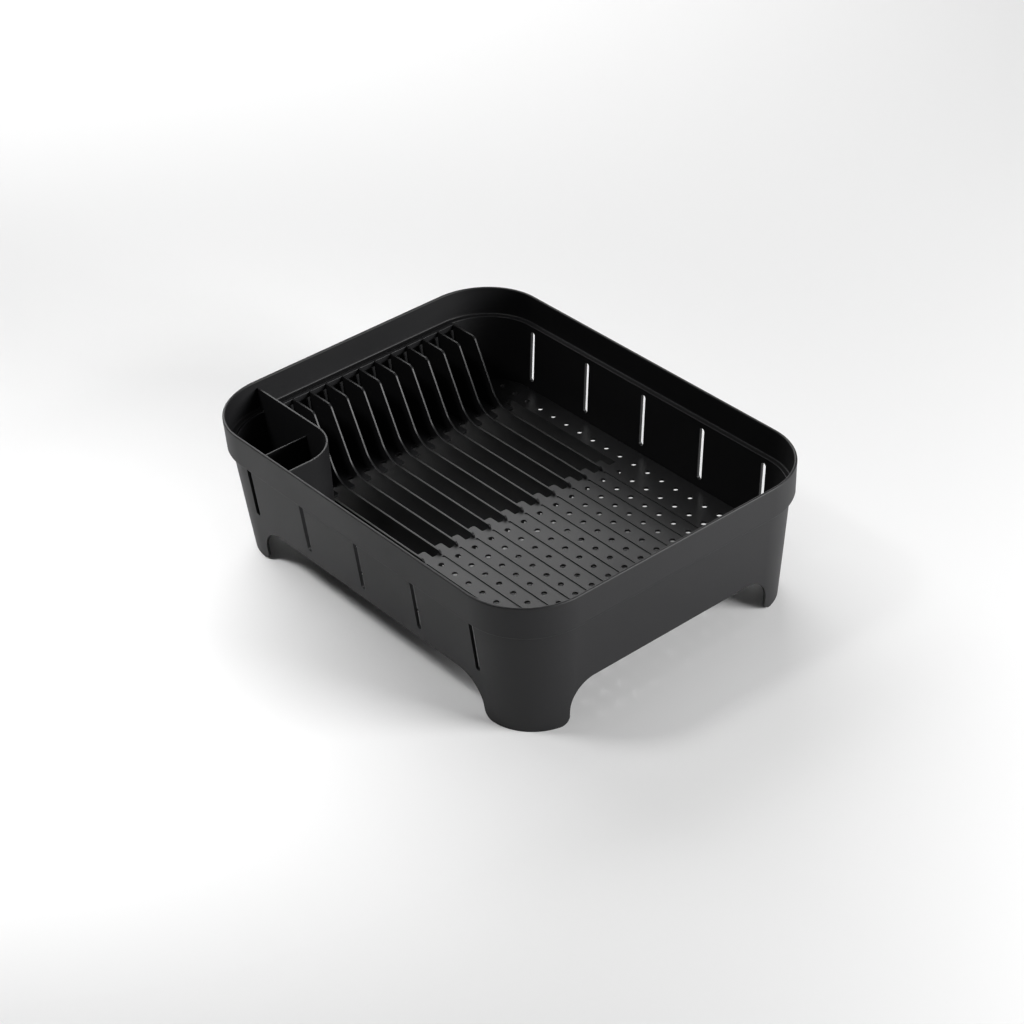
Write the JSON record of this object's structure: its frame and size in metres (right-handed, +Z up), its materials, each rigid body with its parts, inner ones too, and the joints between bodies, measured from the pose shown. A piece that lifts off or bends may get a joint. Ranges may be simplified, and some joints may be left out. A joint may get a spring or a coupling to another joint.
{
  "type": "dish drying rack",
  "caption": "Dish drying rack: tapered black tub on corner feet with an open bottom, a drainer insert of plate ribs and a perforated floor, and a lift-out cutlery caddy with a divider.",
  "frame": {"origin": "bottom centre of the rack, on the worktop plane between the feet", "axes": "+X along the length toward the perforated end, -Y toward the front long wall beside the cutlery caddy, +Z up"},
  "size_m": [0.478, 0.366, 0.147],
  "materials": {
    "tub_plastic": "fine satin grain, moulded black plastic",
    "insert_plastic": "fine satin grain, moulded black plastic",
    "caddy_plastic": "fine satin grain, moulded black plastic"
  },
  "bodies": {
    "tub": {"outer_tub": "tub_plastic"},
    "drainer": {"drainer_floor": "insert_plastic", "drainer_end_rail": "insert_plastic", "plate_rib_01": "insert_plastic", "plate_rib_02": "insert_plastic", "plate_rib_03": "insert_plastic", "plate_rib_04": "insert_plastic", "plate_rib_05": "insert_plastic", "plate_rib_06": "insert_plastic", "plate_rib_07": "insert_plastic", "plate_rib_08": "insert_plastic", "plate_rib_09": "insert_plastic", "plate_rib_10": "insert_plastic", "plate_rib_11": "insert_plastic", "plate_rib_12": "insert_plastic"},
    "caddy": {"cutlery_caddy": "caddy_plastic", "caddy_divider": "caddy_plastic"}
  },
  "joints": [
    {"name": "drainer_lift", "type": "slide", "parent": "tub", "child": "drainer", "axis": [0, 0, 1], "range_m": [0, 0.12]},
    {"name": "caddy_lift", "type": "slide", "parent": "drainer", "child": "caddy", "axis": [0, 0, 1], "range_m": [0, 0.11]}
  ]
}
